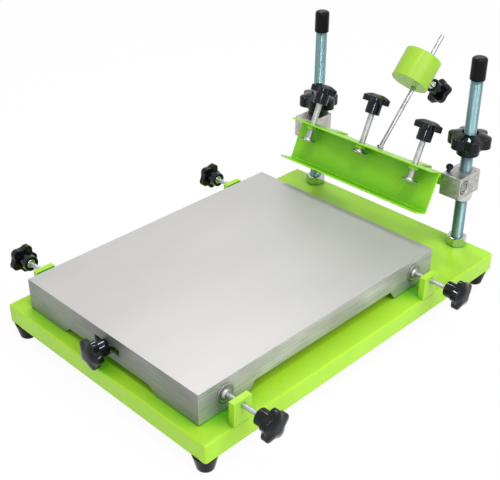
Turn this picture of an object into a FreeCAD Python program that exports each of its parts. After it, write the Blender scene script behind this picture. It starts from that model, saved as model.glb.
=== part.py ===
import FreeCAD, Part
import math
import os
import Sketcher

# A flatbed screen printing machine: a folded tray on four rubber feet, a steel platen held between
# four side screws and one front screw, and a tilting clamp head that rides on two threaded posts.
# X runs across the machine, Y from front to back and Z up. Z is 0 under the feet and X is 0 on the
# middle plane. Lengths are in millimetres and angles in degrees.

SIZES = [
    # tray and feet
    ("tray_front", -306.463, "front edge of the tray, from the middle of the whole machine"),
    ("front_margin", 16.0, "tray in front of the printing table"),
    ("rear_margin", 107.0, "tray behind the printing table"),
    ("side_margin", 26.8, "tray beyond the printing table on each side"),
    ("skirt", 24.0, "folded rim of the tray, top face to lower edge"),
    ("sheet", 2.0, "thickness of the folded tray and of the clamp channel"),
    ("tray_corner", 3.5, "rounding of the tray's upright corners"),
    ("tray_bend", 2.5, "outer bend between the tray's top and its rim"),
    ("foot_height", 22.0, "foot below the rim"),
    ("foot_side_inset", 15.0, "centre of a foot from the side edge of the tray"),
    ("foot_end_inset", 13.4, "centre of a foot from the front or rear edge of the tray"),
    ("foot_top_r", 15.0, "foot at the rim"),
    ("foot_base_r", 10.0, "foot at the floor"),
    ("foot_stem_r", 10.8, "foot inside the tray"),
    ("foot_edge", 1.5, "chamfer of the foot's lower edge"),
    # platen
    ("platen_width", 300.0, "printing table, side to side"),
    ("platen_length", 400.0, "printing table, front to back"),
    ("platen_height", 40.5, "printing table, lower edge to top face"),
    ("platen_gap", 1.0, "running gap between the printing table and the tray"),
    ("platen_wall", 3.0, "side walls of the printing table"),
    ("platen_top", 4.0, "top plate of the printing table"),
    ("relief_length", 254.0, "cut-out in the lower edge of each long wall"),
    ("relief_height", 13.0, "height of that cut-out"),
    ("relief_slope", 9.0, "sloping end of that cut-out"),
    ("end_relief_length", 160.0, "cut-out in the lower edge of each short wall"),
    ("end_relief_height", 8.0, "height of that cut-out"),
    ("slot_width", 44.0, "slot for the front screw"),
    ("slot_height", 10.0, "height of that slot"),
    # adjusting screws
    ("screw_r", 3.0, "adjusting screws"),
    ("screw_play", 0.2, "screw in a threaded lug"),
    ("screw_height", 23.0, "adjusting screws above the tray"),
    ("side_pitch", 325.0, "between the front and rear side screws"),
    ("pad_r", 12.0, "pad on a side screw"),
    ("pad_thick", 1.6, "thickness of every pad"),
    ("pad_socket_r", 6.0, "socket of a pad around the screw's end"),
    ("pad_socket", 5.2, "height of that socket from the pad's face"),
    ("pad_gap", 0.3, "pad off the printing table's wall"),
    ("knob_out", 24.0, "side knob off the edge of the tray"),
    ("lug_thick", 8.0, "threaded lug for a side screw"),
    ("lug_width", 26.0, "that lug along the tray"),
    ("lug_height", 30.0, "that lug above the tray"),
    ("bracket_width", 24.0, "threaded bracket for the front screw"),
    ("bracket_thick", 8.0, "that bracket, front to back"),
    ("bracket_height", 32.0, "that bracket above the tray"),
    ("bracket_back", 20.0, "that bracket behind the printing table's front wall"),
    ("front_inner", 46.0, "front screw behind the printing table's front face"),
    ("front_gap", 2.0, "knob and collar off the front wall"),
    ("collar_r", 8.0, "collar on the front screw"),
    ("collar_thick", 3.0, "thickness of that collar"),
    # star knobs
    ("knob_r", 18.75, "small star knob over its lobes"),
    ("knob_lobe_r", 7.1, "rounding of a lobe on a small star knob"),
    ("knob_core_r", 14.6, "small star knob in the hollows between its lobes"),
    ("knob_hub_r", 10.0, "hub of a small star knob"),
    ("knob_hub", 15.0, "length of that hub"),
    ("knob_head", 12.0, "thickness of a small star knob's head"),
    ("knob_crown", 2.4, "fall of that head's top from its middle to its lobes"),
    ("knob_depth", 16.0, "screw inside a small star knob"),
    ("wheel_r", 28.0, "large star knob over its lobes"),
    ("wheel_lobe_r", 9.3, "rounding of a lobe on a large star knob"),
    ("wheel_core_r", 23.0, "large star knob in the hollows between its lobes"),
    ("wheel_hub_r", 14.75, "hub of a large star knob"),
    ("wheel_hub", 12.2, "length of that hub"),
    ("wheel_head", 18.0, "thickness of a large star knob's head"),
    ("wheel_crown", 2.8, "fall of that head's top from its middle to its lobes"),
    ("wheel_recess_r", 10.5, "recess around the post in a large star knob"),
    ("wheel_recess", 3.0, "depth of that recess"),
    ("wheel_raise", 21.2, "right large knob above its block, turned up as photographed"),
    # posts
    ("post_in", 50.0, "post in from the side edge of the tray"),
    ("post_back", 14.0, "post in front of the rear edge of the tray"),
    ("post_r", 7.9, "threaded post"),
    ("post_height", 256.0, "post above the tray"),
    ("post_play", 0.4, "block, nut or large knob around a post"),
    ("nut_flats", 24.0, "hexagon nut across its flats"),
    ("nut_height", 13.0, "height of that nut"),
    ("cap_r", 9.8, "rubber cap on a post"),
    ("cap_height", 29.0, "height of that cap"),
    ("cap_round", 4.5, "rounding of the cap's top, as two slopes"),
    # carriage blocks
    ("block_width", 30.0, "bearing block, side to side"),
    ("block_length", 45.0, "bearing block, front to back"),
    ("block_height", 30.0, "bearing block, bottom to top"),
    ("block_behind", 12.0, "bearing block behind the post's axis"),
    ("block_low", 83.0, "bearing block above the tray"),
    ("hinge_front", 22.0, "hinge axis in front of the posts"),
    ("journal_r", 5.0, "shaft end in the bearing block"),
    ("journal_play", 0.05, "shaft end in its bore"),
    ("bush_r", 9.5, "recess around the shaft end"),
    ("bush_depth", 1.0, "depth of that recess"),
    ("shaft_r", 8.0, "shaft between the blocks"),
    ("shaft_play", 1.5, "shaft shoulder off the block"),
    # clamp head, measured in its own frame from the hinge axis
    ("tilt", 24.5, "clamp head leaned back from level"),
    ("channel_in", 10.0, "end of the clamp channel in from a post's axis"),
    ("web_front", 29.0, "inner face of the channel's web in front of the hinge"),
    ("channel_low", 46.8, "lower face of the channel below the hinge"),
    ("channel_high", 10.2, "upper face of the channel above the hinge"),
    ("flange_front", 53.0, "front edge of both flanges in front of the hinge"),
    ("channel_bend", 4.0, "outer radius of the channel's bends"),
    ("arm_in", 45.0, "middle of an arm in from the channel's end"),
    ("arm_width", 20.0, "arm, side to side"),
    ("arm_thick", 3.0, "thickness of an arm"),
    ("arm_back", 10.0, "arm behind the hinge axis"),
    ("clamp_in", 30.0, "outer clamp screw in from the channel's end"),
    ("clamp_front", 43.0, "clamp screws in front of the hinge"),
    ("clamp_screw_r", 4.0, "clamp screws"),
    ("clamp_pad_r", 11.0, "pad on a clamp screw"),
    ("clamp_pad_low", 13.5, "pad face of an outer clamp screw below the hinge"),
    ("clamp_reach", 53.5, "pad face to the knob on a clamp screw"),
    ("clamp_mid_lift", 11.0, "middle clamp screw turned up, as photographed"),
    ("clamp_right_lift", 1.2, "right clamp screw turned up, as photographed"),
    ("weld_nut_flats", 13.0, "nut welded under the upper flange"),
    ("weld_nut_height", 5.0, "height of that nut"),
    # counterweight, measured along its rod from the hinge axis
    ("rod_lean", 19.2, "rod leaned back from the web"),
    ("rod_r", 3.0, "counterweight rod"),
    ("rod_root", 6.0, "rod beyond the hinge axis, inside the shaft"),
    ("rod_length", 188.0, "rod from the hinge axis to its tip"),
    ("rod_nut_flats", 8.5, "lock nut at the rod's foot across its flats"),
    ("rod_nut_low", 8.3, "lock nut from the hinge axis"),
    ("rod_nut_height", 3.5, "height of that nut"),
    ("weight_r", 26.5, "counterweight"),
    ("weight_low", 104.5, "lower face of the counterweight from the hinge axis"),
    ("weight_length", 43.0, "length of the counterweight"),
    ("weight_offset", 12.0, "counterweight's axis off the rod"),
    ("weight_turn", 12.0, "counterweight's screw turned to the right of straight back"),
    ("weight_play", 0.3, "rod in the counterweight"),
    ("weight_reach", 29.0, "rod axis to the counterweight's knob"),
    ("weight_depth", 14.0, "screw inside the counterweight's knob"),
]

doc = FreeCAD.newDocument("screen_press")
sheet = doc.addObject("Spreadsheet::Sheet", "dims")
Vector = FreeCAD.Vector
Rotation = FreeCAD.Rotation
nodes = {}


class Size:
    """A length or an angle: the text that the sheet works out, and its value."""

    def __init__(self, text, value):
        self.text = text
        self.value = value

    def __add__(self, other):
        other = as_size(other)
        return Size("(%s + %s)" % (self.text, other.text), self.value + other.value)

    def __sub__(self, other):
        other = as_size(other)
        return Size("(%s - %s)" % (self.text, other.text), self.value - other.value)

    def __mul__(self, other):
        other = as_size(other)
        return Size("(%s * %s)" % (self.text, other.text), self.value * other.value)

    def __truediv__(self, other):
        other = as_size(other)
        return Size("(%s / %s)" % (self.text, other.text), self.value / other.value)

    def __neg__(self):
        return Size("(0 - %s)" % self.text, -self.value)


def as_size(thing):
    return thing if isinstance(thing, Size) else Size(repr(float(thing)), float(thing))


def sin(angle):
    angle = as_size(angle)
    return Size("sin(%s)" % angle.text, math.sin(math.radians(angle.value)))


def cos(angle):
    angle = as_size(angle)
    return Size("cos(%s)" % angle.text, math.cos(math.radians(angle.value)))


class Dims:
    """The driving sizes, by name."""


d = Dims()
for row, (name, value, note) in enumerate(SIZES, start=1):
    sheet.set("A%d" % row, name)
    sheet.set("B%d" % row, str(value))
    sheet.set("C%d" % row, note)
    sheet.setAlias("B%d" % row, name)
    setattr(d, name, Size("dims." + name, value))
doc.recompute()


# Small helpers for objects whose sizes are bound to the sheet.

def bind(thing, prop, size):
    thing.setExpression(prop, as_size(size).text)


def place(thing, x=0.0, y=0.0, z=0.0, turn=None, lean=None):
    """Puts a thing in place. turn is a fixed orientation, lean a bound angle back from upright."""
    if turn is not None:
        thing.Placement = FreeCAD.Placement(Vector(), turn)
    if lean is not None:
        thing.Placement = FreeCAD.Placement(Vector(), Rotation(Vector(1, 0, 0), -1.0))
        bind(thing, "Placement.Rotation.Angle", -as_size(lean))
    for axis, size in (("x", x), ("y", y), ("z", z)):
        bind(thing, "Placement.Base." + axis, size)
    return thing


def box(name, width, length, height, x, y, z):
    """A box from its left front lower corner."""
    thing = doc.addObject("Part::Box", name)
    bind(thing, "Length", width)
    bind(thing, "Width", length)
    bind(thing, "Height", height)
    return place(thing, x, y, z)


def rod(name, radius, height, x=0.0, y=0.0, z=0.0, turn=None, lean=None):
    thing = doc.addObject("Part::Cylinder", name)
    bind(thing, "Radius", radius)
    bind(thing, "Height", height)
    return place(thing, x, y, z, turn, lean)


def hexagon(name, flats, height, x=0.0, y=0.0, z=0.0):
    thing = doc.addObject("Part::Prism", name)
    thing.Polygon = 6
    bind(thing, "Circumradius", flats / math.sqrt(3.0))
    bind(thing, "Height", height)
    return place(thing, x, y, z)


def fuse(name, parts):
    thing = doc.addObject("Part::MultiFuse", name)
    thing.Shapes = parts
    return thing


def cut(name, base, tools):
    thing = doc.addObject("Part::Cut", name)
    thing.Base = base
    thing.Tool = tools[0] if len(tools) == 1 else fuse(name + "_tools", tools)
    return thing


def body(name):
    return doc.addObject("PartDesign::Body", name)


def sketch(owner, name, role="XY_Plane", lift=0.0):
    """A sketch on one of the body's own planes, lifted off it along its normal."""
    thing = owner.newObject("Sketcher::SketchObject", name)
    plane = [f for f in owner.Origin.OriginFeatures if f.Role == role][0]
    thing.AttachmentSupport = (plane, [""])
    thing.MapMode = "FlatFace"
    bind(thing, "AttachmentOffset.Base.z", lift)
    return thing


def fix_point(sk, geometry, position, x, y):
    for kind, size in (("DistanceX", as_size(x)), ("DistanceY", as_size(y))):
        number = sk.addConstraint(Sketcher.Constraint(kind, -1, 1, geometry, position, size.value))
        sk.setExpression("Constraints[%d]" % number, size.text)


def outline(sk, points):
    """A closed outline of straight lines through bound points."""
    corners = [Vector(as_size(x).value, as_size(y).value, 0) for x, y in points]
    count = len(corners)
    first = sk.GeometryCount
    for i in range(count):
        sk.addGeometry(Part.LineSegment(corners[i], corners[(i + 1) % count]))
    for i in range(count):
        sk.addConstraint(Sketcher.Constraint("Coincident", first + i, 2, first + (i + 1) % count, 1))
    for i, (x, y) in enumerate(points):
        fix_point(sk, first + i, 1, x, y)
    return sk


def turn_profile(owner, name, points):
    """Turns a closed profile of (radius, height) points about the body's upright axis."""
    profile = outline(sketch(owner, name + "_profile", "XZ_Plane"), points)
    turned = owner.newObject("PartDesign::Revolution", name + "_turned")
    turned.Profile = profile
    turned.ReferenceAxis = (profile, ["V_Axis"])
    turned.Angle = 360.0
    doc.recompute()
    return turned


def circle(sk, x, y, radius):
    centre = Vector(as_size(x).value, as_size(y).value, 0)
    number = sk.addGeometry(Part.Circle(centre, Vector(0, 0, 1), as_size(radius).value))
    fix_point(sk, number, 3, x, y)
    limit = sk.addConstraint(Sketcher.Constraint("Radius", number, as_size(radius).value))
    sk.setExpression("Constraints[%d]" % limit, as_size(radius).text)
    return sk


def pad(owner, name, profile, length):
    thing = owner.newObject("PartDesign::Pad", name)
    thing.Profile = profile
    bind(thing, "Length", length)
    doc.recompute()
    return thing


def pocket(owner, name, profile, length=None, reverse=False):
    """A pocket of a bound depth, or right through when no depth is given."""
    before = owner.Shape.Volume
    thing = owner.newObject("PartDesign::Pocket", name)
    thing.Profile = profile
    if length is None:
        thing.Type = 1
        thing.Midplane = True
    else:
        bind(thing, "Length", length)
        thing.Reversed = reverse
    doc.recompute()
    assert owner.Shape.Volume < before - 0.1, name + " removes nothing"
    return thing


def round_edges(owner, name, radius, wanted):
    """Rounds the edges of the body's last feature that the test accepts."""
    last = owner.Tip
    picked = ["Edge%d" % (i + 1) for i, e in enumerate(last.Shape.Edges) if wanted(e)]
    assert picked, name + " finds no edges"
    thing = owner.newObject("PartDesign::Fillet", name)
    thing.Base = (last, picked)
    bind(thing, "Radius", radius)
    doc.recompute()
    return thing


def upright(edge):
    box_ = edge.BoundBox
    return box_.XLength < 0.01 and box_.YLength < 0.01


def keep(name, thing):
    """Makes an object one of the named pieces."""
    thing.Label = name
    nodes[name] = thing
    return thing


# Places that more than one piece is measured from.
tray_top = d.foot_height + d.skirt
half = d.platen_width / 2 + d.side_margin
platen_front = d.tray_front + d.front_margin
tray_back = platen_front + d.platen_length + d.rear_margin
screw_z = tray_top + d.screw_height
side_reach = d.side_margin - d.pad_gap + d.knob_out
post_x = half - d.post_in
post_y = tray_back - d.post_back
hinge_y = post_y - d.hinge_front
block_z = tray_top + d.block_low
hinge_z = block_z + d.block_height / 2
block_top = block_z + d.block_height
rod_angle = d.tilt + d.rod_lean
channel_half = post_x - d.channel_in
SIDES = (("left", -1), ("right", 1))


def head_point(ahead, above):
    """A point of the leaned head, given ahead of and above the hinge, as y and z."""
    y = hinge_y + above * sin(d.tilt) - ahead * cos(d.tilt)
    z = hinge_z + above * cos(d.tilt) + ahead * sin(d.tilt)
    return y, z


def rod_point(out, along):
    """A point out from the counterweight rod towards its knob, and along the rod."""
    back = out * cos(d.weight_turn)
    x = out * sin(d.weight_turn)
    y = hinge_y + back * cos(rod_angle) + along * sin(rod_angle)
    z = hinge_z - back * sin(rod_angle) + along * cos(rod_angle)
    return x, y, z


# Tray: a sheet folded down on all four sides, with a hole for each post.
tray = body("tray_body")
pad(tray, "tray_block", outline(sketch(tray, "tray_outline"), [
    (-half, d.tray_front), (half, d.tray_front), (half, tray_back), (-half, tray_back)]), d.skirt)
round_edges(tray, "tray_corners", d.tray_corner, upright)
round_edges(tray, "tray_bends", d.tray_bend,
            lambda e: e.BoundBox.ZMin > d.skirt.value - 0.01)
inner = half - d.sheet
pocket(tray, "tray_hollow", outline(sketch(tray, "tray_inside"), [
    (-inner, d.tray_front + d.sheet), (inner, d.tray_front + d.sheet),
    (inner, tray_back - d.sheet), (-inner, tray_back - d.sheet)]),
    d.skirt - d.sheet, reverse=True)
holes = sketch(tray, "post_holes")
circle(holes, -post_x, post_y, d.post_r + d.screw_play)
circle(holes, post_x, post_y, d.post_r + d.screw_play)
pocket(tray, "tray_post_holes", holes)
keep("base_tray", place(tray, z=d.foot_height))

# Rubber feet: a taper below the rim, and a stem inside the tray up to its underside.
for end, foot_y in (("front", d.tray_front + d.foot_end_inset), ("rear", tray_back - d.foot_end_inset)):
    for side, sign in SIDES:
        name = "foot_%s_%s" % (end, side)
        foot = body(name + "_body")
        turn_profile(foot, name, [
            (0, 0), (d.foot_base_r - d.foot_edge, 0), (d.foot_base_r, d.foot_edge),
            (d.foot_top_r, d.foot_height), (d.foot_stem_r, d.foot_height),
            (d.foot_stem_r, tray_top - d.sheet), (0, tray_top - d.sheet)])
        keep(name, place(foot, (half - d.foot_side_inset) * sign, foot_y))

# Threaded lugs for the side screws, flush with the rim, and the bracket for the front screw.
screw_ys = {
    "front": platen_front + (d.platen_length - d.side_pitch) / 2,
    "rear": platen_front + (d.platen_length + d.side_pitch) / 2,
}
SIDEWAYS = {-1: Rotation(Vector(0, 1, 0), -90), 1: Rotation(Vector(0, 1, 0), 90)}
FORWARD = Rotation(Vector(1, 0, 0), 90)
for end in ("front", "rear"):
    for side, sign in SIDES:
        name = "lug_%s_%s" % (end, side)
        left_face = half - d.lug_thick if sign > 0 else -half
        blank = box(name + "_blank", d.lug_thick, d.lug_width, d.lug_height,
                    left_face, screw_ys[end] - d.lug_width / 2, tray_top)
        hole = rod(name + "_hole", d.screw_r + d.screw_play, d.lug_thick * 3,
                   (half - d.lug_thick * 2) * sign, screw_ys[end], screw_z, turn=SIDEWAYS[sign])
        keep(name, cut(name + "_cut", blank, [hole]))
bracket_y = platen_front + d.bracket_back
blank = box("bracket_blank", d.bracket_width, d.bracket_thick, d.bracket_height,
            -d.bracket_width / 2, bracket_y, tray_top)
hole = rod("bracket_hole", d.screw_r + d.screw_play, d.bracket_thick * 3,
           0, bracket_y + d.bracket_thick * 2, screw_z, turn=FORWARD)
keep("front_bracket", cut("bracket_cut", blank, [hole]))

# Platen: a steel box open below, with cut-outs in its lower edges and a slot for the front screw.
platen = body("platen_body")
wide = d.platen_width / 2
pad(platen, "platen_block", outline(sketch(platen, "platen_outline"), [
    (-wide, 0), (wide, 0), (wide, d.platen_length), (-wide, d.platen_length)]), d.platen_height)
room = wide - d.platen_wall
pocket(platen, "platen_hollow", outline(sketch(platen, "platen_inside"), [
    (-room, d.platen_wall), (room, d.platen_wall),
    (room, d.platen_length - d.platen_wall), (-room, d.platen_length - d.platen_wall)]),
    d.platen_height - d.platen_top, reverse=True)
start = (d.platen_length - d.relief_length) / 2
finish = (d.platen_length + d.relief_length) / 2
pocket(platen, "long_reliefs", outline(sketch(platen, "long_relief", "YZ_Plane"), [
    (start, -1.0), (finish, -1.0), (finish, 0), (finish - d.relief_slope, d.relief_height),
    (start + d.relief_slope, d.relief_height), (start, 0)]))
reach = d.end_relief_length / 2
pocket(platen, "short_reliefs", outline(sketch(platen, "short_relief", "XZ_Plane"), [
    (-reach, -1.0), (reach, -1.0), (reach, 0), (reach - d.relief_slope, d.end_relief_height),
    (-reach + d.relief_slope, d.end_relief_height), (-reach, 0)]))
slot_low = d.screw_height - d.platen_gap - d.slot_height / 2
pocket(platen, "front_slot", outline(sketch(platen, "slot_outline", "XZ_Plane"), [
    (-d.slot_width / 2, slot_low), (d.slot_width / 2, slot_low),
    (d.slot_width / 2, slot_low + d.slot_height), (-d.slot_width / 2, slot_low + d.slot_height)]),
    d.platen_wall * 2)
keep("platen", place(platen, 0, platen_front, tray_top + d.platen_gap))


def star(name, lobes, radius, lobe_r, core_r, hub_r, hub, head, crown, bore,
         depth=None, recess_r=None, recess=None, turn=0.0):
    """A lobed knob along Z: its hub starts at 0, its head is above, turn is where a lobe points."""
    knob = body(name + "_body")
    pad(knob, name + "_hub", circle(sketch(knob, name + "_hub_circle"), 0, 0, hub_r), hub + head / 2)
    core = circle(sketch(knob, name + "_core_circle", lift=hub), 0, 0, core_r)
    pad(knob, name + "_core", core, head)
    spot = radius - lobe_r
    lobe = circle(sketch(knob, name + "_lobe_circle", lift=hub), spot * cos(turn), spot * sin(turn), lobe_r)
    lobe_pad = pad(knob, name + "_lobe", lobe, head)
    ring = knob.newObject("PartDesign::PolarPattern", name + "_lobes")
    ring.Originals = [lobe_pad]
    axis = [f for f in knob.Origin.OriginFeatures if f.Role == "Z_Axis"][0]
    ring.Axis = (axis, [""])
    ring.Angle = 360.0
    ring.Occurrences = lobes
    knob.Tip = ring
    doc.recompute()
    full = knob.Shape.Volume
    fall = outline(sketch(knob, name + "_crown_profile", "XZ_Plane"), [
        (radius * 0.4, hub + head), (radius + 1.0, hub + head - crown), (radius + 1.0, hub + head + 1.0),
        (radius * 0.4, hub + head + 1.0)])
    slope = knob.newObject("PartDesign::Groove", name + "_crown")
    slope.Profile = fall
    slope.ReferenceAxis = (fall, ["V_Axis"])
    slope.Angle = 360.0
    doc.recompute()
    assert knob.Shape.Volume < full - 1.0, name + " has no crown"
    hole = circle(sketch(knob, name + "_bore_circle"), 0, 0, bore)
    if depth is None:
        pocket(knob, name + "_bore", hole, hub + head + 1.0, reverse=True)
    else:
        pocket(knob, name + "_bore", hole, depth, reverse=True)
    if recess is not None:
        dip = circle(sketch(knob, name + "_recess_circle", lift=hub + head), 0, 0, recess_r)
        pocket(knob, name + "_recess", dip, recess)
    return knob


def small_star(name, bore, depth, turn=0.0):
    """A five-lobed knob with a blind bore."""
    return star(name, 5, d.knob_r, d.knob_lobe_r, d.knob_core_r, d.knob_hub_r, d.knob_hub, d.knob_head,
                d.knob_crown, bore, depth, turn=turn)


def padded_screw(name, pad_r, screw_r, length):
    """A screw along Z that stands in the socket of a round pad."""
    return fuse(name, [
        rod(name + "_pad", pad_r, d.pad_thick),
        rod(name + "_socket", d.pad_socket_r, d.pad_socket),
        rod(name + "_stem", screw_r, length),
    ])


# Side screws with their pads against the platen, and their knobs, each turned as photographed.
STAR_TURNS = {"front_left": 30.0, "front_right": 28.0, "rear_left": 30.0, "rear_right": 39.0}
for end in ("front", "rear"):
    for side, sign in SIDES:
        corner = end + "_" + side
        screw = padded_screw("side_adjuster_" + corner, d.pad_r, d.screw_r, side_reach + d.knob_depth)
        x = (wide + d.pad_gap) * sign
        keep("side_screw_" + corner, place(screw, x, screw_ys[end], screw_z, turn=SIDEWAYS[sign]))
        knob = small_star("side_knob_" + corner, d.screw_r, d.knob_depth, STAR_TURNS[corner])
        x = (wide + d.pad_gap + side_reach) * sign
        keep("side_knob_" + corner, place(knob, x, screw_ys[end], screw_z, turn=SIDEWAYS[sign]))

# Front screw with the collar behind the platen's front wall, and its knob.
stem_length = d.front_inner + d.front_gap + d.knob_depth
stem = rod("front_stem", d.screw_r, stem_length)
collar_low = d.front_inner - d.platen_wall - d.front_gap - d.collar_thick
collar = rod("front_collar", d.collar_r, d.collar_thick, z=collar_low)
screw = fuse("front_screw_fuse", [stem, collar])
keep("front_screw", place(screw, 0, platen_front + d.front_inner, screw_z, turn=FORWARD))
knob = small_star("front_knob", d.screw_r, d.knob_depth, 0.0)
keep("front_knob", place(knob, 0, platen_front - d.front_gap, screw_z, turn=FORWARD))

# Posts with their nuts, caps, blocks and large knobs.
WHEEL_TURNS = {"left": 55.0, "right": 18.0}
under = tray_top - d.sheet - d.nut_height
cap_low = d.post_height + d.post_r - d.cap_height
for side, sign in SIDES:
    x = post_x * sign
    stud = fuse("post_%s_fuse" % side, [
        rod("post_stud_" + side, d.post_r, tray_top + d.post_height - under, x, post_y, under),
        hexagon("post_foot_" + side, d.nut_flats, d.nut_height, x, post_y, under),
    ])
    keep("post_" + side, stud)
    blank = hexagon("base_nut_%s_blank" % side, d.nut_flats, d.nut_height, x, post_y, tray_top)
    hole = rod("base_nut_%s_hole" % side, d.post_r, d.nut_height, x, post_y, tray_top)
    keep("base_nut_" + side, cut("base_nut_%s_cut" % side, blank, [hole]))

    cap = body("cap_%s_body" % side)
    knee = d.cap_round * (1 - math.sqrt(0.5))
    turn_profile(cap, "cap_" + side, [
        (d.post_r, 0), (d.cap_r, 0), (d.cap_r, d.cap_height - d.cap_round),
        (d.cap_r - knee, d.cap_height - knee), (d.cap_r - d.cap_round, d.cap_height), (0, d.cap_height),
        (0, d.cap_height - d.post_r), (d.post_r, d.cap_height - d.post_r)])
    keep("cap_" + side, place(cap, x, post_y, tray_top + cap_low))

    blank = box("block_%s_blank" % side, d.block_width, d.block_length, d.block_height,
                x - d.block_width / 2, post_y + d.block_behind - d.block_length, block_z)
    post_hole = rod("block_%s_post_hole" % side, d.post_r + d.post_play, d.block_height, x, post_y, block_z)
    inner_face = (post_x - d.block_width / 2) * sign
    hinge_hole = rod("block_%s_hinge_hole" % side, d.journal_r + d.journal_play, d.block_width,
                     inner_face, hinge_y, hinge_z, turn=SIDEWAYS[sign])
    recess_face = (post_x + d.block_width / 2 - d.bush_depth) * sign
    bush = rod("block_%s_bush" % side, d.bush_r, d.bush_depth, recess_face, hinge_y, hinge_z,
               turn=SIDEWAYS[sign])
    keep("block_" + side, cut("block_%s_cut" % side, blank, [post_hole, hinge_hole, bush]))

    nut_z = block_z - d.nut_height
    blank = hexagon("block_nut_%s_blank" % side, d.nut_flats, d.nut_height, x, post_y, nut_z)
    hole = rod("block_nut_%s_hole" % side, d.post_r + d.post_play, d.nut_height, x, post_y, nut_z)
    keep("block_nut_" + side, cut("block_nut_%s_cut" % side, blank, [hole]))

    wheel = star("handwheel_" + side, 6, d.wheel_r, d.wheel_lobe_r, d.wheel_core_r, d.wheel_hub_r,
                 d.wheel_hub, d.wheel_head, d.wheel_crown, d.post_r + d.post_play,
                 recess_r=d.wheel_recess_r, recess=d.wheel_recess, turn=WHEEL_TURNS[side])
    lift = d.wheel_raise if sign > 0 else d.pad_gap
    keep("handwheel_" + side, place(wheel, x, post_y, block_top + lift))

# Clamp channel: one folded sheet, with a nut welded under the upper flange at each screw.
folded = body("channel_sheet")
web_back = d.web_front - d.sheet
section = outline(sketch(folded, "channel_section", "YZ_Plane", -channel_half), [
    (-d.flange_front, -d.channel_low), (-web_back, -d.channel_low), (-web_back, d.channel_high),
    (-d.flange_front, d.channel_high), (-d.flange_front, d.channel_high - d.sheet),
    (-d.web_front, d.channel_high - d.sheet), (-d.web_front, d.sheet - d.channel_low),
    (-d.flange_front, d.sheet - d.channel_low)])
pad(folded, "channel_fold", section, channel_half * 2)


def lengthways(edge, y):
    """An edge of the channel that runs along it at a given place in front of the hinge."""
    box_ = edge.BoundBox
    return box_.XLength > 1.0 and abs(box_.YMin + y.value) < 0.01 and abs(box_.YMax + y.value) < 0.01


round_edges(folded, "channel_outer_bends", d.channel_bend, lambda e: lengthways(e, web_back))
round_edges(folded, "channel_inner_bends", d.channel_bend - d.sheet, lambda e: lengthways(e, d.web_front))
CLAMPS = (("left", -1), ("middle", 0), ("right", 1))
clamp_x = channel_half - d.clamp_in
nut_low = d.channel_high - d.sheet - d.weld_nut_height
nuts = [hexagon("weld_nut_" + side, d.weld_nut_flats, d.weld_nut_height,
                clamp_x * sign, -d.clamp_front, nut_low) for side, sign in CLAMPS]
nut_holes = [rod("weld_nut_hole_" + side, d.clamp_screw_r + d.screw_play, d.channel_high - nut_low,
                 clamp_x * sign, -d.clamp_front, nut_low) for side, sign in CLAMPS]
channel = cut("channel_cut", fuse("channel_fuse", [folded] + nuts), nut_holes)
keep("clamp_channel", place(channel, 0, hinge_y, hinge_z, lean=d.tilt))

# Hinge shaft with its arms to the channel, and the radial hole for the counterweight rod.
shoulder = post_x - d.block_width / 2 - d.shaft_play
tip = post_x + d.block_width / 2 - d.bush_depth / 2
arm_x = channel_half - d.arm_in
ALONG = SIDEWAYS[1]
pieces = [
    rod("shaft_bar", d.shaft_r, shoulder * 2, -shoulder, turn=ALONG),
    rod("shaft_journals", d.journal_r, tip * 2, -tip, turn=ALONG),
]
for side, sign in SIDES:
    pieces.append(box("arm_" + side, d.arm_width, d.arm_back + d.web_front, d.arm_thick,
                      arm_x * sign - d.arm_width / 2, -d.web_front, d.channel_high - d.arm_thick))
rod_hole = rod("shaft_rod_hole", d.rod_r, d.shaft_r * 3,
               0, -d.rod_root * sin(d.rod_lean), -d.rod_root * cos(d.rod_lean), lean=d.rod_lean)
shaft = cut("shaft_cut", fuse("shaft_fuse", pieces), [rod_hole, folded])
keep("hinge_shaft", place(shaft, 0, hinge_y, hinge_z, lean=d.tilt))

# Clamp screws with their pads, and their knobs.
lifts = {"left": as_size(0), "middle": d.clamp_mid_lift, "right": d.clamp_right_lift}
for side, sign in CLAMPS:
    pad_low = lifts[side] - d.clamp_pad_low
    x = clamp_x * sign
    length = d.clamp_reach + d.knob_depth
    screw = padded_screw("clamp_spindle_" + side, d.clamp_pad_r, d.clamp_screw_r, length)
    y, z = head_point(d.clamp_front, pad_low)
    keep("clamp_screw_" + side, place(screw, x, y, z, lean=d.tilt))
    knob = small_star("clamp_knob_" + side, d.clamp_screw_r, d.knob_depth, 15.0)
    y, z = head_point(d.clamp_front, pad_low + d.clamp_reach)
    keep("clamp_knob_" + side, place(knob, x, y, z, lean=d.tilt))

# Counterweight rod with its lock nut, the weight, and the weight's screw and knob.
stem = rod("counterweight_stem", d.rod_r, d.rod_length + d.rod_root, z=-d.rod_root)
lock = hexagon("counterweight_lock_nut", d.rod_nut_flats, d.rod_nut_height, z=d.rod_nut_low)
bar = fuse("counterweight_rod_fuse", [stem, lock])
keep("counterweight_rod", place(bar, 0, hinge_y, hinge_z, lean=rod_angle))
TO_KNOB = Rotation(Vector(0, 0, 1), -d.weight_turn.value).multiply(Rotation(Vector(1, 0, 0), -90))
mass = rod("weight_blank", d.weight_r, d.weight_length,
           -d.weight_offset * sin(d.weight_turn), -d.weight_offset * cos(d.weight_turn), d.weight_low)
through = rod("weight_rod_hole", d.rod_r + d.weight_play, d.weight_length, z=d.weight_low)
middle = d.weight_low + d.weight_length / 2
screw_hole = rod("weight_screw_hole", d.rod_r, d.weight_r * 2, z=middle, turn=TO_KNOB)
weight = cut("weight_cut", mass, [through, screw_hole])
keep("counterweight", place(weight, 0, hinge_y, hinge_z, lean=rod_angle))
turned_out = Rotation(Vector(1, 0, 0), -rod_angle.value).multiply(TO_KNOB)
inside = d.rod_r + d.weight_play
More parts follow.
